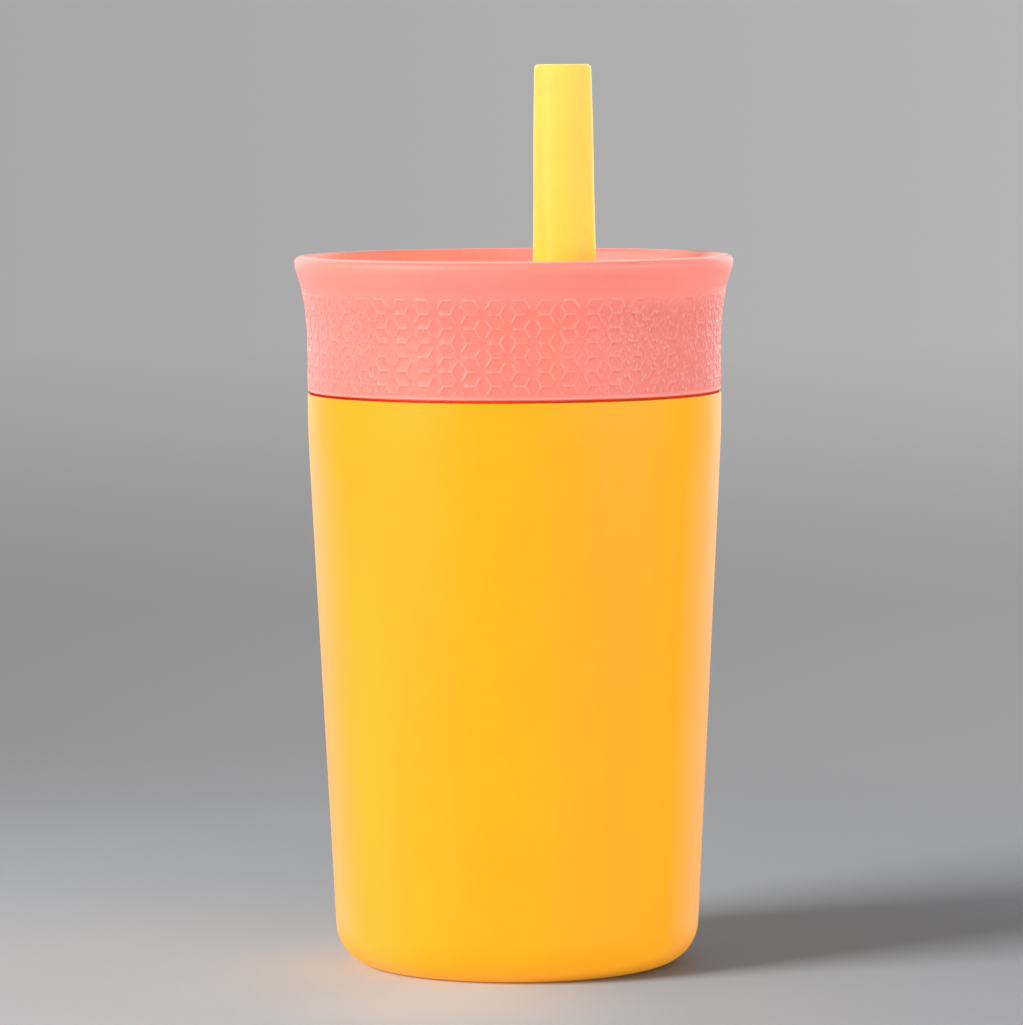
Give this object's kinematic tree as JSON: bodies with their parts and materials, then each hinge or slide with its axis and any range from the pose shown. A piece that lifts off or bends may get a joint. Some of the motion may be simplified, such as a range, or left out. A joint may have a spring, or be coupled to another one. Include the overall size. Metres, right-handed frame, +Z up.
{
  "type": "insulated straw tumbler for a child",
  "caption": "Double-wall insulated cup for a child with a twist-on lid, a soft flared patterned collar, an air vent and a flexible straw with a spill valve.",
  "frame": {"origin": "centre of the foot ring, on the plane the cup stands on", "axes": "+Z up along the cup's axis; the straw leaves the lid's deck on the +X side and the air vent is on the -X side; +Y completes the right-handed frame"},
  "size_m": [0.0856, 0.0856, 0.176],
  "materials": {
    "amber_coat": "fine-grained satin powder coat",
    "steel": "brushed",
    "solder_glass": "fused, glossy",
    "getter_grey": "sintered, matte",
    "coral_soft": "soft-touch matte with a raised line pattern",
    "coral_rigid": "moulded satin",
    "clear_soft": "translucent silicone, satin",
    "yellow_soft": "silicone, soft matte",
    "white_rigid": "moulded satin"
  },
  "bodies": {
    "cup": {"outer_shell": "amber_coat", "inner_liner": "steel", "vacuum_base_plate": "steel", "vacuum_seal_bead": "solder_glass", "base_cover": "amber_coat", "getter_holder": "steel", "getter_pellet": "getter_grey"},
    "gasket": {"lid_gasket": "clear_soft"},
    "lid": {"lid_core": "coral_rigid", "grip_collar": "coral_soft"},
    "vent": {"vent_valve": "clear_soft"},
    "straw": {"straw_foot": "yellow_soft", "spill_valve": "yellow_soft", "straw_connector": "white_rigid", "lower_straw": "yellow_soft"},
    "straw_tip": {"straw_mouthpiece": "yellow_soft"}
  },
  "joints": [
    {"name": "lid_rise", "type": "slide", "parent": "cup", "child": "gasket", "axis": [0, 0, 1], "range_m": [0, 0.0121]},
    {"name": "lid_turn", "type": "hinge", "parent": "gasket", "child": "lid", "pos_m": [0, 0, 0.118], "axis": [0, 0, 1], "range_deg": [0, 360]},
    {"name": "vent_open", "type": "slide", "parent": "lid", "child": "vent", "axis": [0, 0, -1], "range_m": [0, 0.0007], "stiffness_N_per_m": 60},
    {"name": "straw_pull", "type": "slide", "parent": "lid", "child": "straw", "axis": [0, 0, 1], "range_m": [0, 0.12]},
    {"name": "straw_flex", "type": "hinge", "parent": "straw", "child": "straw_tip", "pos_m": [0.00993, 0, 0.1342], "axis": [0, 1, 0], "range_deg": [-30, 30], "stiffness_Nm_per_rad": 0.02}
  ],
  "couplings": [
    {"joint": "lid_rise", "follows": "lid_turn", "m_per_rad": 0.0019099}
  ]
}
